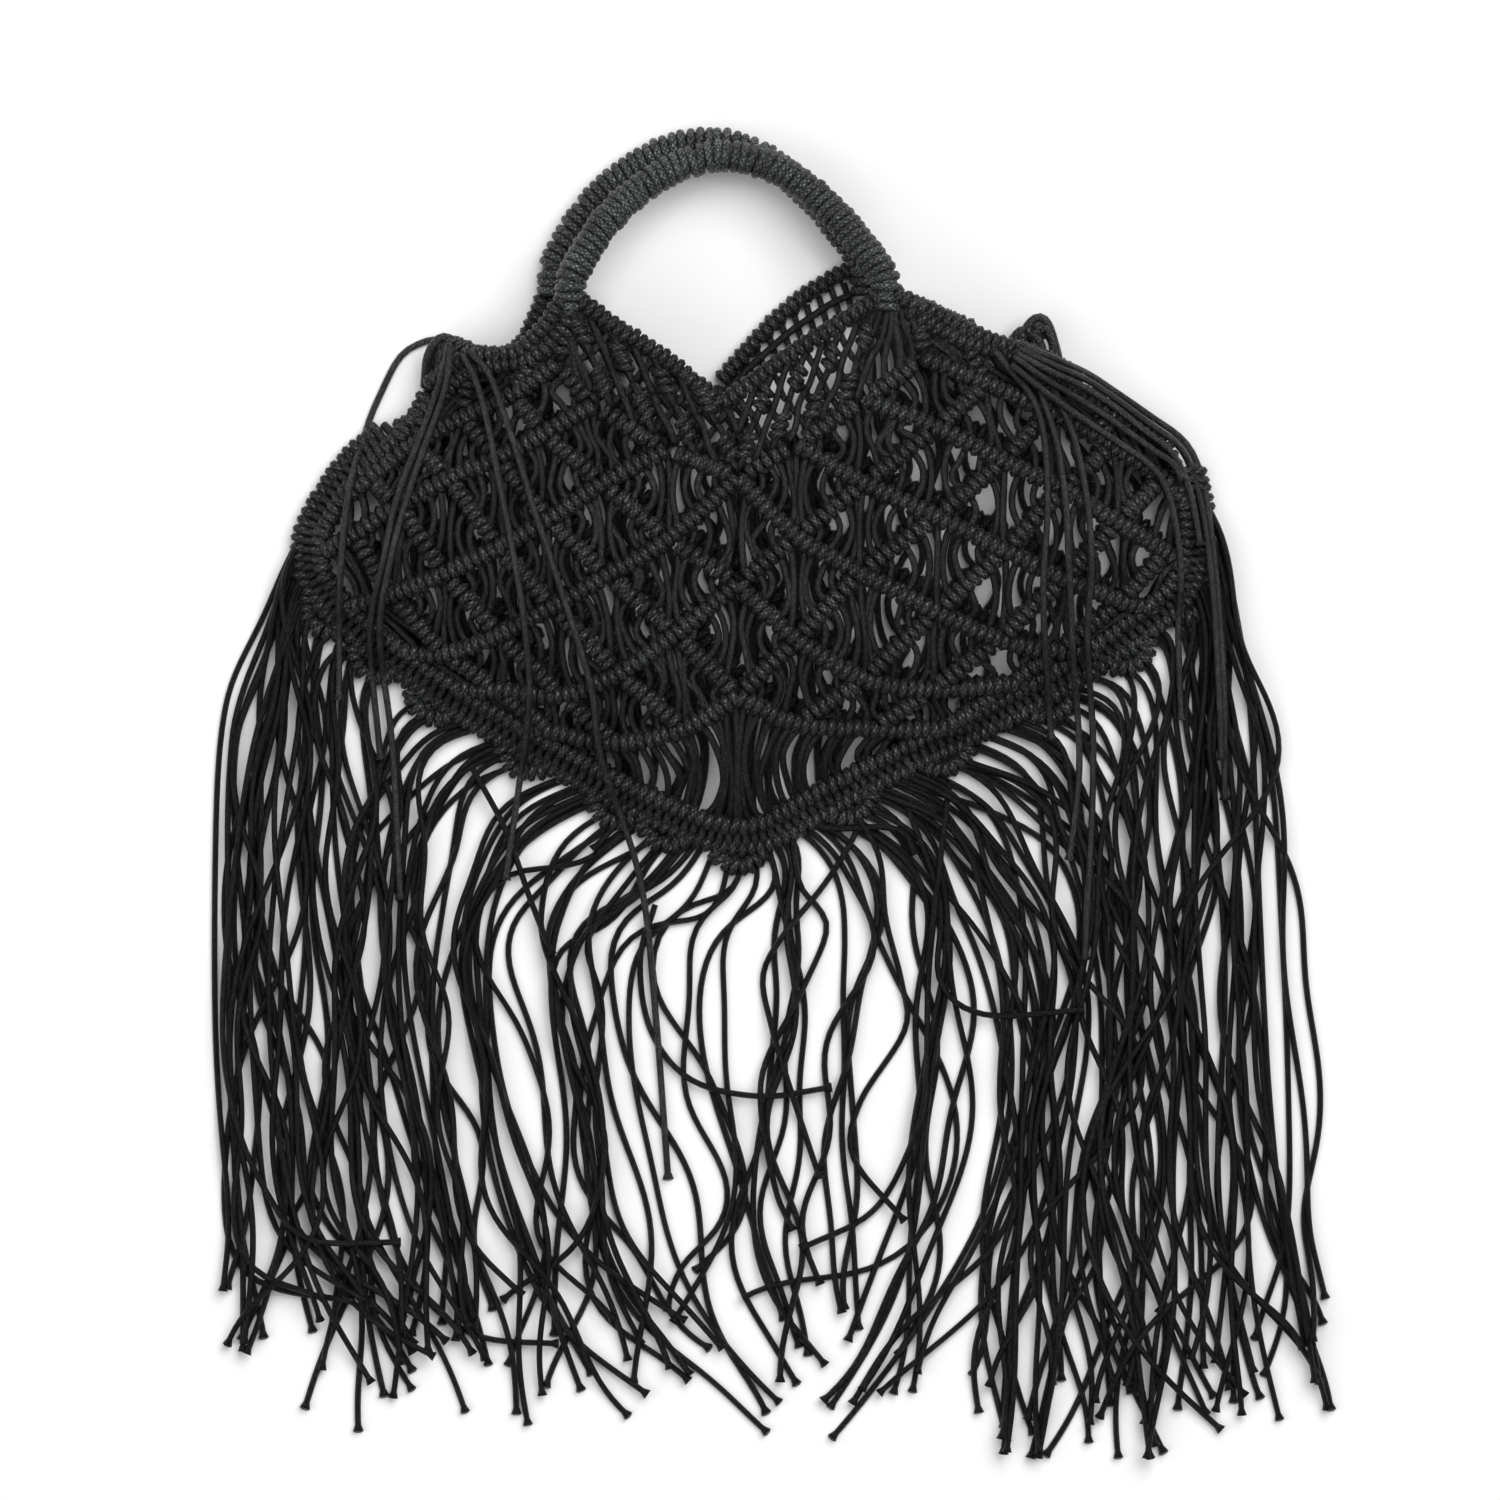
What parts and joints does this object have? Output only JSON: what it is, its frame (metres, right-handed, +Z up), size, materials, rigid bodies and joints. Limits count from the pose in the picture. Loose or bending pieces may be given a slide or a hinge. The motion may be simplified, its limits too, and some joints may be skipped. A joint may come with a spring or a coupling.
{
  "type": "knotted cord tote bag",
  "caption": "Open knotted cord tote bag with wrapped arch handles, a diamond lattice net and a long cord fringe, lying flat.",
  "frame": {"origin": "on the floor under the middle of the box of the bag, which lies on its back panel", "axes": "+Z up through the front panel, +Y from the fringe towards the handles, +X to the right seen from above"},
  "size_m": [0.434, 0.5188, 0.046],
  "materials": {
    "net_cord": "black waxed braided cotton cord, hitched into ribs",
    "handle_cord": "black waxed braided cotton cord, wrapped",
    "fringe_cord": "black waxed braided cotton cord, loose"
  },
  "bodies": {
    "root": {"front_panel": "net_cord", "back_panel": "net_cord", "front_handle": "handle_cord", "back_handle": "handle_cord", "left_gather": "net_cord", "right_gather": "net_cord", "fringe_left": "fringe_cord", "fringe_centre": "fringe_cord", "fringe_right": "fringe_cord"}
  },
  "joints": []
}
